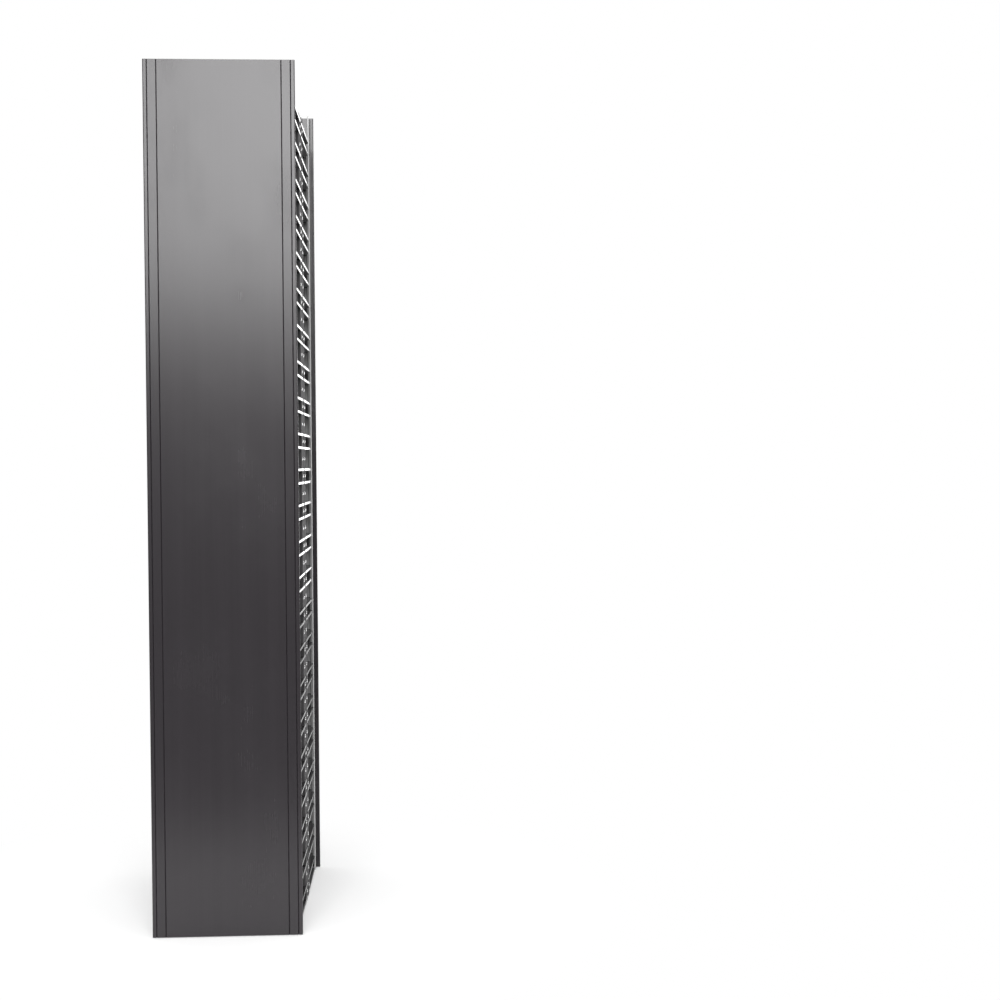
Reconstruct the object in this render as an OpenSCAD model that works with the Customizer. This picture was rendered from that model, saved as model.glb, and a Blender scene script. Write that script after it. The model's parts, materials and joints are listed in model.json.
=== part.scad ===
// Double-sided vertical cable manager for a server rack.
// Two finger ducts stand back to back on a steel spine. Each is closed by an extruded cover. Hooked
// strips inside the cover's legs snap over round beads at the finger tips, and the cover swings
// about those beads.
// Origin: centre of the footprint on the floor. X is the width, Y the depth (front is -Y), Z is up.

/* [Rack grid] */
// Height of one rack unit, which is also the spacing of the fingers
rack_unit = 44.45; // [40:0.05:50]
// Number of fingers in each of the four columns
finger_count = 23; // [9:1:30]
// Height of the lowest finger's middle above the floor
end_margin = 14.5; // [13:0.5:30]

/* [Overall] */
// Width across the outer faces of the finger columns
column_w = 167.6; // [150:0.2:220]
// Depth from the front cover's face to the rear cover's face
depth = 305; // [260:1:380]

/* [Covers] */
// How far a cover's edge stands out past the finger column
cover_overhang = 5.2; // [3:0.1:10]
// Height of the covers above the top of the ducts
cover_rise = 33.1; // [5:0.1:60]
// Gap between the covers and the floor
cover_floor_gap = 1; // [0.5:0.1:5]
// Thickness of a cover's face
cover_t = 3; // [2.4:0.1:4]
// Thickness of a cover's legs
leg_t = 2; // [1.6:0.1:2.4]
// Depth from a cover's face to the ends of its legs
leg_depth = 18; // [17:0.5:24]
// Depth from a cover's face to the ends of the guide ribs beside its legs
guide_rib_depth = 10; // [6:0.5:11]
// Thickness of the guide ribs beside a cover's legs
guide_rib_t = 2; // [1.5:0.1:3]
// Radius on a cover's long edges
cover_edge_r = 1.2; // [0.5:0.1:1.2]
// Width of the V-shaped grooves along a cover's face
groove_w = 1.4; // [0.6:0.1:2]
// Depth of the V-shaped grooves
groove_depth = 1; // [0.4:0.1:1.2]
// Distance of the outer groove from a cover's edge
outer_groove_at = 5; // [3:0.5:8]
// Distance of the inner groove from a cover's edge
inner_groove_at = 16; // [12:0.5:30]
// Distance of the stiffening ribs inside a cover from its middle
cover_rib_at = 42; // [20:1:55]
// Height of the stiffening ribs inside a cover
cover_rib_h = 3; // [1:0.5:6]
// Width of the stiffening ribs inside a cover
cover_rib_w = 2; // [1.5:0.1:3]

/* [Hinge] */
// Radius of the bead at a finger tip
bead_r = 2.3; // [2:0.1:2.6]
// Depth from a cover's face to the middle of the beads
bead_depth = 16; // [15:0.5:18]
// Clearance between a bead and the hook around it
hook_gap = 0.3; // [0.2:0.05:0.4]
// Thickness of the hooked strips
strip_t = 1.8; // [1.4:0.1:2.2]
// Distance of a strip's ends from the ends of its cover
strip_end_gap = 15; // [5:1:40]
// Width of a strip's seat, between a cover's leg and its guide rib
strip_seat_w = 8.3; // [8:0.1:10]
// Thickness of the soft bead under a strip's seat
strip_bead = 1.2; // [0.8:0.1:1.6]
// Angle that a cover opens to
open_angle = 100; // [60:5:100]
// Angle that a hook reaches back past the side of its bead on the hinge side
hook_lip = 25; // [10:1:28]
// Clearance between moving pieces around the hinge
swing_gap = 0.3; // [0.2:0.05:0.5]

/* [Fingers] */
// Height of a finger where it leaves the rail
finger_root_h = 19.8; // [15:0.1:22]
// Height of a finger at its tip
finger_tip_h = 18.8; // [12:0.1:19]
// Width of a finger, across the duct
finger_w = 14; // [12:0.5:16]
// Thickness of a finger's two flanges
flange_t = 2.8; // [2:0.1:3.4]
// Thickness of a finger's web
finger_web_t = 2.5; // [1.8:0.1:3.5]
// Length over which a finger's flanges narrow towards the tip
tip_taper_len = 9.5; // [5:0.5:20]
// How far a finger's flanges narrow towards the tip
tip_taper_w = 6.8; // [2:0.1:8]
// Length of the nose that carries the bead
nose_len = 13; // [10:0.5:16]
// Distance of a finger's ribs from the seam between the ducts
rib_from_seam = 5; // [3.5:0.5:8]
// Thickness of the root plate between the ribs
root_plate_t = 0.5; // [0.3:0.1:0.7]

/* [Rails] */
// Depth of a rail, from its edge at the seam to its lip
rail_depth = 28; // [24:0.5:34]
// Width of a rail's section, across the duct
rail_w = 12; // [10.5:0.5:16]
// Thickness of a rail's outer wall
rail_wall = 3; // [2:0.1:3.4]
// Thickness of a rail's foot and lip
rail_foot_t = 2.5; // [2:0.1:3]
// How far the fingers' ribs stand out from a rail
rib_h = 0.8; // [0.8:0.1:2]

/* [Spine and panels] */
// Thickness of the steel spine
spine_t = 2; // [1.5:0.1:3]
// How far the spine's edges lie inside the rails' outer faces
spine_inset = 2.8; // [1:0.1:6]
// Thickness of a duct's back panel
panel_t = 2.5; // [2:0.1:4]
// Clearance between a back panel's edge and the rail wall
panel_gap = 0.3; // [0.1:0.1:1]

/* [Pass-through openings] */
// Rack units between the openings
opening_every = 4; // [4:1:6]
// Width of a pass-through opening
opening_w = 95; // [60:1:105]
// Height of a pass-through opening
opening_h = 120; // [60:1:130]
// Corner radius of a pass-through opening
opening_r = 20; // [8:1:28]
// Thickness of the guard that lines an opening
guard_t = 1.5; // [1:0.1:2.5]
// Width of a guard's flange
guard_flange = 4; // [2:0.5:8]

/* [Fasteners] */
// Radius of the mounting holes, for M6 or number 12 screws
mount_hole_r = 3.4; // [2.5:0.1:4]
// Distance between the two mounting holes in the spine, across the width
spine_hole_spacing = 80; // [40:1:100]
// Radius of the bolts through the spine
bolt_r = 2; // [1.5:0.1:2.2]
// Clearance around the bolts through the spine
bolt_gap = 0.25; // [0.1:0.05:0.5]
// Rack units between the bolts
bolt_every = 3; // [2:1:5]
// Radius of a bolt's button head
bolt_head_r = 3.8; // [3:0.1:3.9]
// Height of a bolt's button head
bolt_head_h = 2.2; // [1.5:0.1:3]
// Radius of a bolt's hexagon socket
bolt_socket_r = 1.4; // [1:0.1:1.8]
// Depth of a bolt's hexagon socket
bolt_socket_depth = 1.3; // [0.8:0.1:1.4]
// Width of a nut across its flats
nut_af = 7; // [5.5:0.1:7]
// Height of a nut
nut_h = 3.2; // [2.4:0.1:4]
// Radius of a rivet's shank
rivet_r = 1.5; // [1:0.1:1.8]
// Clearance around a rivet's shank
rivet_gap = 0.1; // [0.05:0.05:0.3]
// Radius of a rivet's head
rivet_head_r = 2.2; // [2:0.1:3]
// Height of a rivet's head
rivet_head_h = 0.7; // [0.4:0.1:1.2]
// Distance that a rivet's tail shows inside the rail
rivet_tail = 0.8; // [0.3:0.1:1.5]
// Thickness of the steel backing plates
backing_t = 3; // [2:0.1:4]
// Height of a backing plate
backing_h = 32; // [20:1:36]
// Width of a backing plate
backing_w = 16; // [12:0.5:18]

/* [Hidden] */

$fn = 48;
LEFT = -1;
RIGHT = 1;
FRONT = -1;
REAR = 1;
over = 1; // how far a cutting shape runs past the face that it cuts

// Heights
function finger_z(i) = end_margin + i * rack_unit;
function gap_z(i) = finger_z(i) + rack_unit / 2;
duct_h = 2 * end_margin + (finger_count - 1) * rack_unit;
cover_top = duct_h + cover_rise;
lower_count = ceil(finger_count / 2);
mount_fingers = [1, finger_count - 2];
opening_count = floor((finger_count - 1) / opening_every);
function opening_z(i) = duct_h / 2 + (i - (opening_count - 1) / 2) * opening_every * rack_unit;
bolt_rows = [for (i = [0:bolt_every:finger_count - 2]) gap_z(i)];

// Places across the width, measured from the middle plane outwards
column_x = column_w / 2;
rail_x = column_x - rib_h;
rail_inner_x = rail_x - rail_w;
rail_cavity_x = rail_x - rail_wall;
finger_inner_x = column_x - finger_w;
bolt_x = (rail_inner_x + rail_cavity_x) / 2;
cover_w = column_w + 2 * cover_overhang;

// Places through the depth, measured from the seam outwards
seam_y = spine_t / 2;
panel_y = seam_y + panel_t;
foot_y = panel_y + rail_foot_t;
rail_end_y = seam_y + rail_depth;
rivet_y = (seam_y + rail_end_y) / 2;
face_y = depth / 2;

// Hinge, in plan, on the right rear side: the other sides mirror it
hook_r = bead_r + hook_gap;
hook_outer_r = hook_r + strip_t;
leg_inner_x = column_x - leg_t;
face_inner_y = face_y - cover_t;
pivot_x = leg_inner_x - hook_outer_r;
pivot_y = face_y - bead_depth;
leg_sweep = norm([column_x - pivot_x, leg_depth - bead_depth]);
finger_end_y = pivot_y - leg_sweep - swing_gap;
nose_x = pivot_x - hook_outer_r - swing_gap;
hook_from = -hook_lip;
hook_to = 175;
// The bead's neck fills what the hook leaves free over the whole swing
neck_margin = 8;
neck_from = hook_to + neck_margin;
neck_to = 360 - hook_lip - open_angle - neck_margin;

// Puts a piece drawn for the right rear corner into one of the four corners
module corner(side, end) {
    mirror([side < 0 ? 1 : 0, 0, 0])
        mirror([0, end < 0 ? 1 : 0, 0])
            children();
}

// Extrudes a (y, z) outline across the width, from x0
module across(x0, t) {
    translate([x0, 0, 0]) rotate([90, 0, 90]) linear_extrude(t) children();
}

// Extrudes an (x, z) outline through the depth, from y0
module through(y0, t) {
    translate([0, y0 + t, 0]) rotate([90, 0, 0]) linear_extrude(t) children();
}

module rounded_rect(w, h, r) {
    square([w - 2 * r, h], center = true);
    square([w, h - 2 * r], center = true);
    for (x = [-1, 1], z = [-1, 1])
        translate([x * (w / 2 - r), z * (h / 2 - r)]) circle(r);
}

// A wedge of a disc between two angles
module wedge(from, to, r) {
    steps = 6;
    polygon(concat([[0, 0]],
        [for (k = [0:steps]) let (a = from + (to - from) * k / steps) r * [cos(a), sin(a)]]));
}

// ---------------------------------------------------------------- spine and back panels

module opening_outlines(grow) {
    for (i = [0:opening_count - 1])
        translate([0, opening_z(i)])
            rounded_rect(opening_w + 2 * grow, opening_h + 2 * grow, opening_r + grow);
}

// A sheet with the openings, the mounting holes and the bolt holes
module drilled_sheet(w, y0, t) {
    difference() {
        through(y0, t) difference() {
            translate([-w / 2, 0]) square([w, duct_h]);
            opening_outlines(guard_t);
        }
        spine_mount_holes(y0, t);
        bolt_holes(y0, t);
    }
}

module spine_mount_holes(y0, t) {
    for (i = mount_fingers, x = [-1, 1])
        translate([x * spine_hole_spacing / 2, y0 - over, finger_z(i)])
            rotate([-90, 0, 0]) cylinder(h = t + 2 * over, r = mount_hole_r);
}

module bolt_holes(y0, t) {
    for (z = bolt_rows, x = [-1, 1])
        translate([x * bolt_x, y0 - over, z])
            rotate([-90, 0, 0]) cylinder(h = t + 2 * over, r = bolt_r + bolt_gap);
}

module spine_plate() {
    color("silver") drilled_sheet(2 * (rail_x - spine_inset), -seam_y, spine_t);
}

module back_panel(end) {
    color([0.15, 0.15, 0.16])
        drilled_sheet(2 * (rail_cavity_x - panel_gap), end > 0 ? seam_y : -panel_y, panel_t);
}

module front_panel() { back_panel(FRONT); }
module rear_panel() { back_panel(REAR); }

// A flanged sleeve that lines each opening from its own side to the middle of the spine
module opening_guards(end) {
    color([0.1, 0.1, 0.11]) corner(RIGHT, end) {
        through(0, panel_y) difference() {
            opening_outlines(guard_t);
            opening_outlines(0);
        }
        through(panel_y, guard_t) difference() {
            opening_outlines(guard_flange);
            opening_outlines(0);
        }
    }
}

module front_opening_guards() { opening_guards(FRONT); }
module rear_opening_guards() { opening_guards(REAR); }

// ---------------------------------------------------------------- rails

module rail_section() {
    translate([rail_cavity_x, seam_y]) square([rail_wall, rail_depth]);
    translate([rail_inner_x, panel_y]) square([rail_w, rail_foot_t]);
    translate([rail_inner_x, rail_end_y - rail_foot_t]) square([rail_w, rail_foot_t]);
}

function is_mount_finger(i) = len(search(i, mount_fingers)) > 0;
finger_rivets = [for (i = [0:finger_count - 1]) if (!is_mount_finger(i)) finger_z(i)];
gap_rivets = [for (i = [0:finger_count - 2]) gap_z(i)];

module side_hole(z, r) {
    translate([rail_inner_x, rivet_y, z]) rotate([0, 90, 0]) cylinder(h = rail_w + finger_w, r = r);
}

module rail(side, end) {
    color([0.42, 0.42, 0.44]) corner(side, end) difference() {
        linear_extrude(duct_h) rail_section();
        for (z = concat(finger_rivets, gap_rivets)) side_hole(z, rivet_r + rivet_gap);
        for (i = mount_fingers) side_hole(finger_z(i), mount_hole_r);
        bolt_holes(panel_y, rail_foot_t);
    }
}

module front_left_rail() { rail(LEFT, FRONT); }
module front_right_rail() { rail(RIGHT, FRONT); }
module rear_left_rail() { rail(LEFT, REAR); }
module rear_right_rail() { rail(RIGHT, REAR); }

// ---------------------------------------------------------------- fingers

// The finger seen from the side, a little taller at the root than at the tip
module finger_outline(inset) {
    polygon([
        [rail_end_y - (inset > 0 ? over : 0), inset - finger_root_h / 2],
        [finger_end_y + (inset > 0 ? over : 0), inset - finger_tip_h / 2],
        [finger_end_y + (inset > 0 ? over : 0), finger_tip_h / 2 - inset],
        [rail_end_y - (inset > 0 ? over : 0), finger_root_h / 2 - inset],
    ]);
}

// Plan of the corner that is cut off the flanges, so that a cover's leg can swing past
module tip_cut() {
    polygon([
        [column_x + over, finger_end_y - tip_taper_len - over * tip_taper_len / tip_taper_w],
        [column_x + over, finger_end_y + over],
        [column_x - tip_taper_w, finger_end_y + over],
        [column_x - tip_taper_w, finger_end_y],
    ]);
}

// Web and two flanges, open towards the outside
module finger_channel() {
    across(finger_inner_x, finger_web_t) finger_outline(0);
    difference() {
        across(finger_inner_x, finger_w) difference() {
            finger_outline(0);
            finger_outline(flange_t);
        }
        translate([0, 0, -finger_root_h]) linear_extrude(2 * finger_root_h) tip_cut();
    }
}

// Nose, neck and bead in plan
module tip_plan() {
    nose_y = finger_end_y - nose_len / 2;
    polygon([
        [finger_inner_x, nose_y],
        [finger_inner_x, pivot_y - bead_r],
        [finger_inner_x + finger_web_t, pivot_y + bead_r / 2],
        [nose_x, pivot_y + bead_r / 2],
        [nose_x, nose_y],
    ]);
    translate([pivot_x, pivot_y]) {
        circle(bead_r);
        intersection() {
            wedge(neck_from, neck_to, 2 * hook_outer_r);
            translate([nose_x - pivot_x - finger_web_t, -pivot_y]) square([finger_w, 2 * pivot_y]);
        }
    }
}

// Ribs that run over the rail, with a riveted plate between them
module finger_root(hole_r) {
    rib_mid = (finger_root_h - flange_t) / 2;
    for (s = [-1, 1]) across(rail_x, rib_h) {
        translate([seam_y + rib_from_seam + flange_t / 2, s * rib_mid]) circle(flange_t / 2);
        translate([seam_y + rib_from_seam + flange_t / 2, s * rib_mid - flange_t / 2])
            square([rail_depth - rib_from_seam - flange_t / 2 + over, flange_t]);
    }
    difference() {
        across(rail_x, root_plate_t)
            translate([seam_y + rib_from_seam + flange_t, -rib_mid])
                square([rail_depth - rib_from_seam - flange_t + over, 2 * rib_mid]);
        side_hole(0, hole_r);
    }
}

module finger(hole_r) {
    finger_channel();
    translate([0, 0, -finger_tip_h / 2]) linear_extrude(finger_tip_h) tip_plan();
    finger_root(hole_r);
}

module finger_column(side, end, first, last) {
    color([0.16, 0.16, 0.17]) corner(side, end)
        for (i = [first:last])
            translate([0, 0, finger_z(i)])
                finger(is_mount_finger(i) ? mount_hole_r : rivet_r + rivet_gap);
}

module lower_fingers(side, end) { finger_column(side, end, 0, lower_count - 1); }
module upper_fingers(side, end) { finger_column(side, end, lower_count, finger_count - 1); }

module front_left_lower_fingers() { lower_fingers(LEFT, FRONT); }
module front_left_upper_fingers() { upper_fingers(LEFT, FRONT); }
module front_right_lower_fingers() { lower_fingers(RIGHT, FRONT); }
module front_right_upper_fingers() { upper_fingers(RIGHT, FRONT); }
module rear_left_lower_fingers() { lower_fingers(LEFT, REAR); }
module rear_left_upper_fingers() { upper_fingers(LEFT, REAR); }
module rear_right_lower_fingers() { lower_fingers(RIGHT, REAR); }
module rear_right_upper_fingers() { upper_fingers(RIGHT, REAR); }

// ---------------------------------------------------------------- rivets, plates and bolts

// One rivet with its head's underside at x = seat
module rivet(z, seat) {
    tail_x = rail_cavity_x - rivet_tail;
    translate([tail_x, rivet_y, z]) rotate([0, 90, 0]) cylinder(h = seat - tail_x, r = rivet_r);
    translate([seat, rivet_y, z]) rotate([0, 90, 0])
        cylinder(h = rivet_head_h, r1 = rivet_head_r, r2 = rivet_head_r * 0.7);
}

module rivets(side, end) {
    color([0.75, 0.75, 0.77]) corner(side, end) {
        for (z = finger_rivets) rivet(z, rail_x + root_plate_t);
        for (z = gap_rivets) rivet(z, rail_x);
    }
}

module front_left_rivets() { rivets(LEFT, FRONT); }
module front_right_rivets() { rivets(RIGHT, FRONT); }
module rear_left_rivets() { rivets(LEFT, REAR); }
module rear_right_rivets() { rivets(RIGHT, REAR); }

// Steel plates inside the rails that spread the load of the rack bolts
module backing_plates(side) {
    color("silver")
        for (end = [FRONT, REAR], i = mount_fingers) corner(side, end) difference() {
            translate([rail_cavity_x - backing_t, rivet_y - backing_w / 2, finger_z(i) - backing_h / 2])
                cube([backing_t, backing_w, backing_h]);
            side_hole(finger_z(i), mount_hole_r);
        }
}

module left_backing_plates() { backing_plates(LEFT); }
module right_backing_plates() { backing_plates(RIGHT); }

// Bolts from the front rails through both ducts and the spine, with nuts in the rear rails
module spine_bolts() {
    reach = foot_y + nut_h + bolt_r / 2;
    color("silver") for (z = bolt_rows, x = [-1, 1])
        translate([x * bolt_x, -foot_y, z]) rotate([-90, 0, 0]) {
            cylinder(h = foot_y + reach, r = bolt_r);
            difference() {
                translate([0, 0, -bolt_head_h])
                    cylinder(h = bolt_head_h, r1 = bolt_head_r * 0.7, r2 = bolt_head_r);
                translate([0, 0, -bolt_head_h - over])
                    cylinder(h = bolt_socket_depth + over, r = bolt_socket_r, $fn = 6);
            }
        }
}

module spine_nuts() {
    thread_gap = 0.05;
    color("silver") for (z = bolt_rows, x = [-1, 1])
        translate([x * bolt_x, foot_y, z]) rotate([-90, 0, 0]) difference() {
            cylinder(h = nut_h, r = nut_af / 2 / cos(30), $fn = 6);
            translate([0, 0, -over]) cylinder(h = nut_h + 2 * over, r = bolt_r + thread_gap);
        }
}

// ---------------------------------------------------------------- covers

// A groove in plan: a V with its point groove_depth below the cover's face
module groove_section() {
    mouth = groove_w / 2 * (groove_depth + over) / groove_depth;
    polygon([[-mouth, over], [0, -groove_depth], [mouth, over]]);
}

// Face, legs, guide ribs and stiffening ribs of a cover, in plan
module cover_section() {
    difference() {
        translate([0, face_y - cover_t / 2]) rounded_rect(cover_w, cover_t, cover_edge_r);
        for (s = [-1, 1], at = [outer_groove_at, inner_groove_at])
            translate([s * (cover_w / 2 - at), face_y]) groove_section();
    }
    into_face = cover_t / 2;
    for (s = [0, 1]) mirror([s, 0]) {
        translate([leg_inner_x + leg_t / 2, face_y - leg_depth + leg_t / 2]) circle(leg_t / 2);
        translate([leg_inner_x, face_y - leg_depth + leg_t / 2])
            square([leg_t, leg_depth - leg_t / 2 - into_face]);
        translate([leg_inner_x - strip_seat_w - guide_rib_t, face_y - guide_rib_depth])
            square([guide_rib_t, guide_rib_depth - into_face]);
        translate([cover_rib_at - cover_rib_w / 2, face_inner_y - cover_rib_h])
            square([cover_rib_w, cover_rib_h + into_face]);
    }
}

module cover(end) {
    color([0.2, 0.2, 0.21]) corner(RIGHT, end)
        translate([0, 0, cover_floor_gap])
            linear_extrude(cover_top - cover_floor_gap) cover_section();
}

// A hooked strip in plan: lip is the angle that its hook reaches back past the side of the bead
module strip_section(lip) {
    seat_x = leg_inner_x - strip_seat_w;
    translate([seat_x, face_inner_y - strip_t]) square([strip_seat_w, strip_t]);
    translate([seat_x + strip_bead, face_inner_y - strip_t]) circle(strip_bead);
    translate([leg_inner_x - strip_t, pivot_y]) square([strip_t, face_inner_y - pivot_y]);
    translate([pivot_x, pivot_y]) difference() {
        circle(hook_outer_r);
        circle(hook_r);
        wedge(hook_to, 360 - lip, 2 * hook_outer_r);
    }
}

module hooked_strip(side, end, lip) {
    z0 = cover_floor_gap + strip_end_gap;
    color([0.5, 0.5, 0.5]) corner(side, end)
        translate([0, 0, z0]) linear_extrude(cover_top - strip_end_gap - z0) strip_section(lip);
}

module front_cover() { cover(FRONT); }
module front_cover_hinge_strip() { hooked_strip(RIGHT, FRONT, hook_lip); }
module front_cover_latch_strip() { hooked_strip(LEFT, FRONT, 0); }
module rear_cover() { cover(REAR); }
module rear_cover_hinge_strip() { hooked_strip(RIGHT, REAR, hook_lip); }
module rear_cover_latch_strip() { hooked_strip(LEFT, REAR, 0); }

// ---------------------------------------------------------------- output

spine_plate();
front_panel();
rear_panel();
front_left_rail();
front_right_rail();
rear_left_rail();
rear_right_rail();
front_left_lower_fingers();
front_left_upper_fingers();
front_right_lower_fingers();
front_right_upper_fingers();
rear_left_lower_fingers();
rear_left_upper_fingers();
rear_right_lower_fingers();
rear_right_upper_fingers();
front_left_rivets();
front_right_rivets();
rear_left_rivets();
rear_right_rivets();
left_backing_plates();
right_backing_plates();
front_opening_guards();
rear_opening_guards();
spine_bolts();
spine_nuts();
front_cover();
front_cover_hinge_strip();
front_cover_latch_strip();
rear_cover();
rear_cover_hinge_strip();
rear_cover_latch_strip();
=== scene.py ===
import json
import math

import bpy
from mathutils import Matrix, Vector


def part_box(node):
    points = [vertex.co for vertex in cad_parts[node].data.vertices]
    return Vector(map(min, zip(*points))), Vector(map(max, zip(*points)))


# The looks of a double-sided vertical cable manager: finger ducts back to back on a steel spine,
# closed front and rear by satin black covers. Metres, +Z up, the front cover towards -Y.

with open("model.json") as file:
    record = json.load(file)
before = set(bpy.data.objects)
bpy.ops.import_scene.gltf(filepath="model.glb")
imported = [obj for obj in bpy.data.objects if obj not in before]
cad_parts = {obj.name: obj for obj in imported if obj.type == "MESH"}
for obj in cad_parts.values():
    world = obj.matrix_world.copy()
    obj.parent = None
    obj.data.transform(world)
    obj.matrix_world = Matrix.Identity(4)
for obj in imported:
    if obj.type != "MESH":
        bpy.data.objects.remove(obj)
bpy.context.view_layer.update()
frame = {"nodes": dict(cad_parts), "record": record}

MM = 0.001

# Sizes of the fingers and covers that the finishes follow
FINGER_SPACING = 44.45 * MM
FINGER_HEIGHT = 19.8 * MM
FLANGE_THICKNESS = 2.8 * MM
FLANGE_START = 5.2 * MM  # from the seam between the ducts
LOWEST_FINGER_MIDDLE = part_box("front_right_lower_fingers")[0][2] + FINGER_HEIGHT / 2
COVER_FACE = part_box("rear_cover")[1][1]
LEG_DEPTH = 18 * MM


# ------------------------------------------------------------------ camera

def aim_camera(place, heading, tilt, roll, focal_length):
    """A camera that looks along +Y, turned by heading, tilted down by tilt, then rolled."""
    data = bpy.data.cameras.new("camera")
    data.sensor_width = 36
    data.lens = focal_length
    data.clip_end = 50
    camera = bpy.data.objects.new("camera", data)
    bpy.context.scene.collection.objects.link(camera)
    turn = Matrix.Rotation(math.radians(heading), 4, "Z")
    lean = Matrix.Rotation(math.radians(90 - tilt), 4, "X")
    bank = Matrix.Rotation(math.radians(roll), 4, "Z")
    camera.matrix_world = Matrix.Translation(place) @ turn @ lean @ bank
    bpy.context.scene.camera = camera


aim_camera(place=(0.2363, -1.943, 0.5634), heading=-2.94, tilt=1.42, roll=-0.37, focal_length=54)


# ------------------------------------------------------------------ shader maths

class Maths:
    """A number that varies over a surface. Sums, products and powers of it add Math nodes."""

    def __init__(self, finish, socket):
        self.finish = finish
        self.socket = socket

    def _with(self, operation, *others, clamp=False):
        values = [other.socket if isinstance(other, Maths) else other for other in others]
        inputs = dict(enumerate([self.socket, *values]))
        settings = {"operation": operation, "use_clamp": clamp}
        return self.finish.number("ShaderNodeMath", settings, inputs)

    def __add__(self, other):
        return self._with("ADD", other)

    __radd__ = __add__

    def __mul__(self, other):
        return self._with("MULTIPLY", other)

    __rmul__ = __mul__

    def __sub__(self, other):
        return self._with("SUBTRACT", other)

    def __rsub__(self, other):
        return (self * -1) + other

    def __pow__(self, other):
        return self._with("POWER", other)

    def size(self):
        return self._with("ABSOLUTE")

    def clamped(self):
        return self._with("ADD", 0.0, clamp=True)


class Finish:
    """One material: a Principled surface and the patterns that feed it."""

    def __init__(self, name, **constants):
        self.material = bpy.data.materials.new(name)
        self.material.use_nodes = True
        self.tree = self.material.node_tree
        self.surface = self.tree.nodes["Principled BSDF"]
        for socket, value in constants.items():
            self.set(socket.replace("_", " "), value)

    def node(self, kind, settings, inputs):
        made = self.tree.nodes.new(kind)
        for name, value in settings.items():
            setattr(made, name, value)
        for name, value in inputs.items():
            self._plug(made.inputs[name], value)
        return made

    def _plug(self, socket, value):
        if isinstance(value, Maths):
            value = value.socket
        if isinstance(value, bpy.types.NodeSocket):
            self.tree.links.new(value, socket)
        else:
            socket.default_value = value

    def number(self, kind, settings, inputs, output=0):
        return Maths(self, self.node(kind, settings, inputs).outputs[output])

    def set(self, socket, value):
        self._plug(self.surface.inputs[socket], value)

    def place(self, stretch=(1, 1, 1)):
        """Object coordinates, multiplied by stretch along each axis."""
        where = self.node("ShaderNodeTexCoord", {}, {}).outputs["Object"]
        mapping = self.node("ShaderNodeMapping", {}, {"Vector": where, "Scale": stretch})
        return mapping.outputs["Vector"]

    def axes(self):
        where = self.node("ShaderNodeTexCoord", {}, {}).outputs["Object"]
        split = self.node("ShaderNodeSeparateXYZ", {}, {"Vector": where})
        return [Maths(self, split.outputs[axis]) for axis in "XYZ"]

    def noise(self, scale, stretch=(1, 1, 1), detail=4, roughness=0.55):
        """Noise from 0 to 1, with scale in features per metre."""
        inputs = {"Vector": self.place(stretch), "Scale": scale, "Detail": detail,
                  "Roughness": roughness}
        return self.number("ShaderNodeTexNoise", {}, inputs, "Fac")

    def ramp(self, value, start, end, low=0.0, high=1.0):
        """Value brought smoothly from low at start to high at end."""
        inputs = {"Value": value, "From Min": start, "From Max": end, "To Min": low, "To Max": high}
        return self.number("ShaderNodeMapRange", {"interpolation_type": "SMOOTHSTEP"}, inputs,
                           "Result")

    def blend(self, amount, first, second):
        """The first colour where amount is 0, the second where it is 1."""
        mixed = self.node("ShaderNodeMix", {"data_type": "RGBA"}, {0: amount, 6: first, 7: second})
        return mixed.outputs[2]

    def bump(self, height, distance, strength=1.0):
        made = self.node("ShaderNodeBump", {}, {"Height": height, "Strength": strength,
                                                "Distance": distance})
        self.set("Normal", made.outputs["Normal"])


def grey(value, warmth=0.0):
    return (value * (1 + warmth), value, value * (1 + warmth), 1.0)


# ------------------------------------------------------------------ finishes

def satin_black_vinyl():
    """The covers: a black extrusion with fine lines along its length, faint handling marks, and
    a painted highlight along the ends of its legs: pale grey colour standing in for the bright line
    of light they reflect."""
    finish = Finish("satin_black_vinyl", IOR=1.47)
    lines = finish.noise(900, (1, 1, 0.004), detail=3)
    bands = finish.noise(60, (1, 1, 0.01), detail=2)
    smudges = finish.ramp(finish.noise(9, (1, 1, 0.7), detail=5, roughness=0.6), 0.45, 0.75)
    grain = finish.noise(1600, detail=2)
    tone = (lines * 0.35 + bands * 0.65).clamped()
    black = finish.blend(tone, grey(0.019, 0.12), grey(0.027, 0.14))
    _, y, _ = finish.axes()
    leg_end = COVER_FACE - LEG_DEPTH
    # Painted highlight: the last 1.2 to 1.8 mm of each leg is coloured pale grey in place of the
    # bright reflection along its edge.
    painted_highlight_mask = finish.ramp(y.size(), leg_end + 1.2 * MM, leg_end + 1.8 * MM, 1.0, 0.0)
    finish.set("Base Color", finish.blend(painted_highlight_mask, black, grey(0.5)))
    finish.set("Roughness", 0.21 + lines * 0.04 + bands * 0.02 + smudges * 0.05)
    finish.bump(lines * 0.7 + grain * 0.3, distance=0.01 * MM, strength=0.4)
    return finish.material


def soft_grey_vinyl():
    """The hooked strips: grey flexible vinyl, paler than the cover that carries them."""
    finish = Finish("soft_grey_vinyl", IOR=1.46)
    lines = finish.noise(1100, (1, 1, 0.004), detail=3)
    mottle = finish.noise(40, (1, 1, 0.1), detail=4)
    tone = (lines * 0.5 + mottle * 0.5).clamped()
    finish.set("Base Color", finish.blend(tone, grey(0.26), grey(0.36)))
    finish.set("Roughness", 0.42 + mottle * 0.14)
    finish.bump(lines, distance=0.02 * MM, strength=0.5)
    return finish.material


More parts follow.
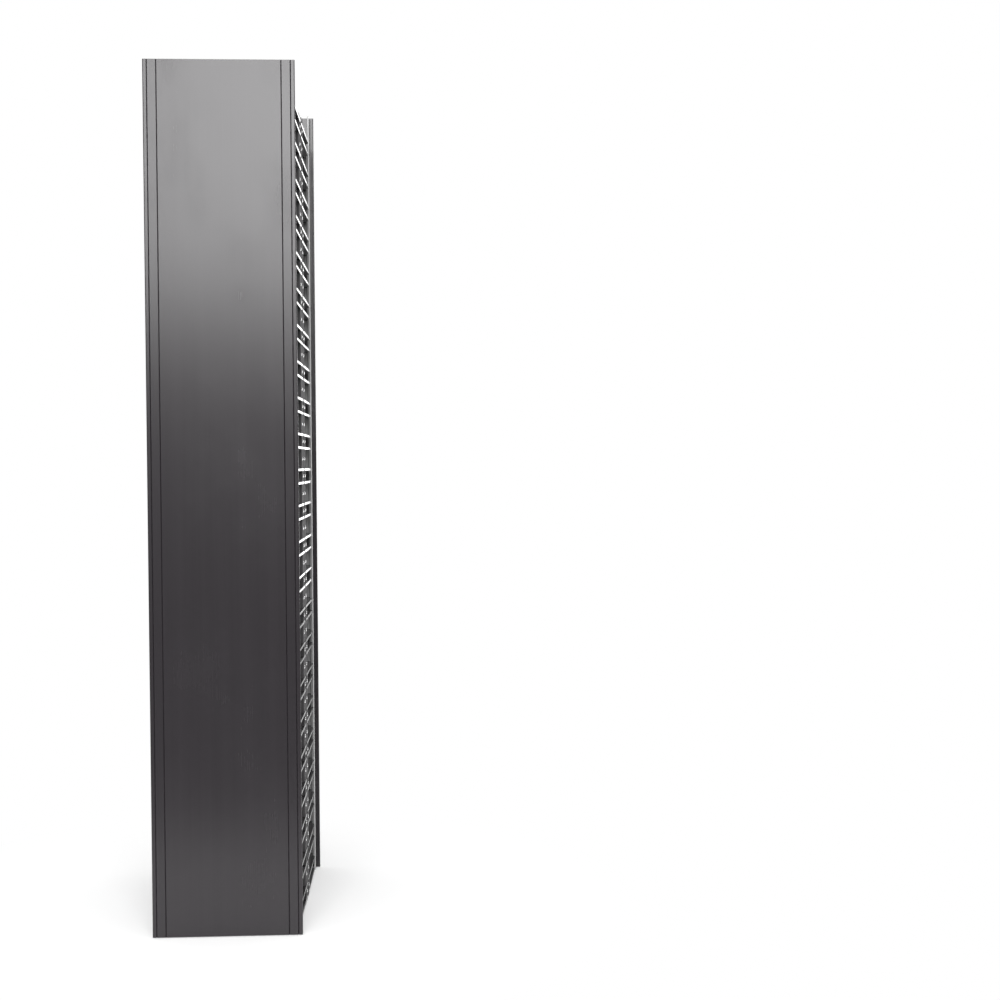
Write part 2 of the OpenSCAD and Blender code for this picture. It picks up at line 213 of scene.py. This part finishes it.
def moulded_black_plastic():
    """The fingers: black mouldings with shiny flanges and a matt textured web between them."""
    finish = Finish("moulded_black_plastic", IOR=1.52)
    grain = finish.noise(2200, detail=2)
    mottle = finish.noise(35, detail=4)
    _, y, z = finish.axes()
    from_middle = finish.number("ShaderNodeMath", {"operation": "PINGPONG"},
                                {0: z - LOWEST_FINGER_MIDDLE, 1: FINGER_SPACING / 2})
    web_edge = FINGER_HEIGHT / 2 - FLANGE_THICKNESS
    web = finish.ramp(from_middle, web_edge - 0.5 * MM, web_edge + 0.1 * MM, 1.0, 0.0)
    root = finish.ramp(y.size(), FLANGE_START, FLANGE_START + 1 * MM, 1.0, 0.0)
    matt = (web + root).clamped()
    finish.set("Base Color", finish.blend(mottle, grey(0.02, 0.04), grey(0.032, 0.04)))
    finish.set("Roughness", 0.13 + mottle * 0.05 + grain * 0.03 + matt * 0.6)
    finish.bump(grain, distance=0.02 * MM, strength=0.4)
    return finish.material


def matt_grey_rail():
    """The rails: a matt dark grey extrusion with die lines along its length."""
    finish = Finish("matt_grey_rail", IOR=1.46)
    lines = finish.noise(700, (1, 1, 0.005), detail=3)
    mottle = finish.noise(25, detail=4)
    tone = (lines * 0.5 + mottle * 0.5).clamped()
    finish.set("Base Color", finish.blend(tone, grey(0.045, 0.05), grey(0.075, 0.05)))
    finish.set("Roughness", 0.72 + mottle * 0.12)
    finish.bump(lines, distance=0.03 * MM, strength=0.5)
    return finish.material


def matt_black_sheet():
    """The back panels: matt black sheet with a leathery moulded skin."""
    finish = Finish("matt_black_sheet", IOR=1.46)
    skin = finish.noise(420, detail=5, roughness=0.65)
    mottle = finish.noise(18, detail=4)
    finish.set("Base Color", finish.blend(mottle, grey(0.02), grey(0.032)))
    finish.set("Roughness", 0.5 + skin * 0.15)
    finish.bump(skin, distance=0.06 * MM, strength=0.7)
    return finish.material


def soft_black_trim():
    """The guards around the openings: softer, duller black."""
    finish = Finish("soft_black_trim", IOR=1.45)
    skin = finish.noise(900, detail=3)
    finish.set("Base Color", finish.blend(skin, grey(0.014), grey(0.024)))
    finish.set("Roughness", 0.6 + skin * 0.15)
    finish.bump(skin, distance=0.03 * MM, strength=0.5)
    return finish.material


def zinc_plate():
    """Plated sheet steel: clouded grey metal with faint rolling lines."""
    finish = Finish("zinc_plate", Metallic=1.0)
    clouds = finish.noise(55, detail=6, roughness=0.7)
    rolling = finish.noise(500, (1, 1, 0.02), detail=3)
    finish.set("Base Color", finish.blend(clouds, grey(0.42), grey(0.62)))
    finish.set("Roughness", 0.3 + clouds * 0.15 + rolling * 0.08)
    finish.bump(rolling, distance=0.02 * MM, strength=0.5)
    return finish.material


def plated_fastener():
    """Bolts and nuts: brighter zinc with small tool marks."""
    finish = Finish("plated_fastener", Metallic=1.0)
    marks = finish.noise(1500, detail=4)
    finish.set("Base Color", finish.blend(marks, grey(0.5), grey(0.72)))
    finish.set("Roughness", 0.25 + marks * 0.15)
    finish.bump(marks, distance=0.02 * MM, strength=0.5)
    return finish.material


def bright_rivet():
    """Rivets: drawn bright metal."""
    finish = Finish("bright_rivet", Metallic=1.0)
    marks = finish.noise(2500, detail=3)
    finish.set("Base Color", finish.blend(marks, grey(0.78), grey(0.9)))
    finish.set("Roughness", 0.2 + marks * 0.12)
    finish.bump(marks, distance=0.01 * MM, strength=0.5)
    return finish.material


FINISH_OF_SLOT = {
    "cover_vinyl": satin_black_vinyl(),
    "strip_vinyl": soft_grey_vinyl(),
    "finger_plastic": moulded_black_plastic(),
    "rail_plastic": matt_grey_rail(),
    "duct_plastic": matt_black_sheet(),
    "guard_plastic": soft_black_trim(),
    "galvanised_steel": zinc_plate(),
    "bolt_steel": plated_fastener(),
    "rivet_metal": bright_rivet(),
}


def dress_nodes():
    for entry in frame["record"]["subparts"]:
        piece = frame["nodes"][entry["node"]]
        for place in piece.material_slots:
            place.material = FINISH_OF_SLOT[entry["material_slot"]]


dress_nodes()


# ------------------------------------------------------------------ floor, backdrop and lights

class Stage(Finish):
    """A matt surface of the studio that turns white for the eye."""

    def whiten(self, amount, gloss=0.0):
        """White shows over the matt surface: by amount for the eye, by gloss in reflections."""
        rays = self.node("ShaderNodeLightPath", {}, {})
        seen = Maths(self, rays.outputs["Is Camera Ray"])
        mirrored = Maths(self, rays.outputs["Is Glossy Ray"])
        cover = (seen * amount + mirrored * gloss).clamped()
        glow = self.node("ShaderNodeEmission", {}, {"Color": (1, 1, 1, 1), "Strength": 1.0})
        mix = self.node("ShaderNodeMixShader", {}, {0: cover, 1: self.surface.outputs["BSDF"],
                                                    2: glow.outputs["Emission"]})
        self.tree.links.new(mix.outputs["Shader"], self.tree.nodes["Material Output"].inputs[0])


def pale_floor():
    """A pale sheet round the object that keeps its shadow, on a darker studio floor in front."""
    finish = Stage("pale_floor", Roughness=0.9)
    finish.set("Specular IOR Level", 0.0)
    x, y, _ = finish.axes()
    sheet_ends, sheet_starts_to_fade = -0.85, -0.5
    on_sheet = finish.ramp(y, sheet_ends, sheet_starts_to_fade)
    finish.set("Base Color", finish.blend(on_sheet, grey(0.12), grey(0.9)))
    distance = (x * x + y * y) ** 0.5
    shadow_shows, shadow_gone = 0.12, 0.5
    finish.whiten(finish.ramp(distance, shadow_shows, shadow_gone, 0.3, 1.0))
    return finish.material


def white_backdrop():
    """The wall behind the object: white to the eye and in reflections."""
    finish = Stage("white_backdrop", Base_Color=(0.9, 0.9, 0.9, 1), Roughness=0.9)
    finish.set("Specular IOR Level", 0.0)
    finish.whiten(1.0, gloss=1.0)
    return finish.material


def stage_plane(name, size, place, tilt, material):
    """A flat square of the studio, tilted up from level by tilt degrees."""
    bpy.ops.object.select_all(action="DESELECT")
    bpy.ops.mesh.primitive_plane_add(size=size, location=place, rotation=(math.radians(tilt), 0, 0))
    plane = bpy.context.active_object
    plane.name = name
    plane.data.materials.append(material)


def soft_box(name, place, aim, width, height, power):
    """A square lamp at place, turned to face aim."""
    data = bpy.data.lights.new(name, "AREA")
    data.shape = "RECTANGLE"
    data.size = width
    data.size_y = height
    data.energy = power
    lamp = bpy.data.objects.new(name, data)
    bpy.context.scene.collection.objects.link(lamp)
    away = Vector(place) - Vector(aim)
    lamp.matrix_world = Matrix.Translation(place) @ away.to_track_quat("Z", "Y").to_matrix().to_4x4()
    lamp.visible_camera = False


def light_studio():
    """One lamp mirrored in the covers' upper part, one glancing off the fingers, one overhead."""
    soft_box("front_high", (0.2, -3.0, 2.0), (0.2, 0, 2.0), 2.1, 1.9, 132)
    soft_box("behind_right", (0.9, 4.6, 1.05), (0.9, 0, 1.05), 1.8, 2.1, 36)
    soft_box("overhead", (0.0, -0.2, 3.2), (0, -0.2, 0), 2.0, 2.0, 75)
    fill_with_soft_light()


def fill_with_soft_light():
    """A dim even sky that lights the object, and looks plain white to the eye."""
    world = bpy.data.worlds.new("studio")
    bpy.context.scene.world = world
    world.use_nodes = True
    nodes = world.node_tree.nodes
    links = world.node_tree.links
    dim = nodes["Background"]
    dim.inputs["Color"].default_value = (1, 1, 1, 1)
    dim.inputs["Strength"].default_value = 0.3
    white = nodes.new("ShaderNodeBackground")
    white.inputs["Color"].default_value = (1, 1, 1, 1)
    white.inputs["Strength"].default_value = 1.0
    rays = nodes.new("ShaderNodeLightPath")
    mix = nodes.new("ShaderNodeMixShader")
    links.new(rays.outputs["Is Camera Ray"], mix.inputs[0])
    links.new(dim.outputs["Background"], mix.inputs[1])
    links.new(white.outputs["Background"], mix.inputs[2])
    links.new(mix.outputs["Shader"], nodes["World Output"].inputs["Surface"])


stage_plane("floor", 14, (0, 0, 0), 0, pale_floor())
stage_plane("backdrop", 14, (0, 7, 3), 90, white_backdrop())
light_studio()

bpy.context.scene.view_settings.view_transform = "Standard"
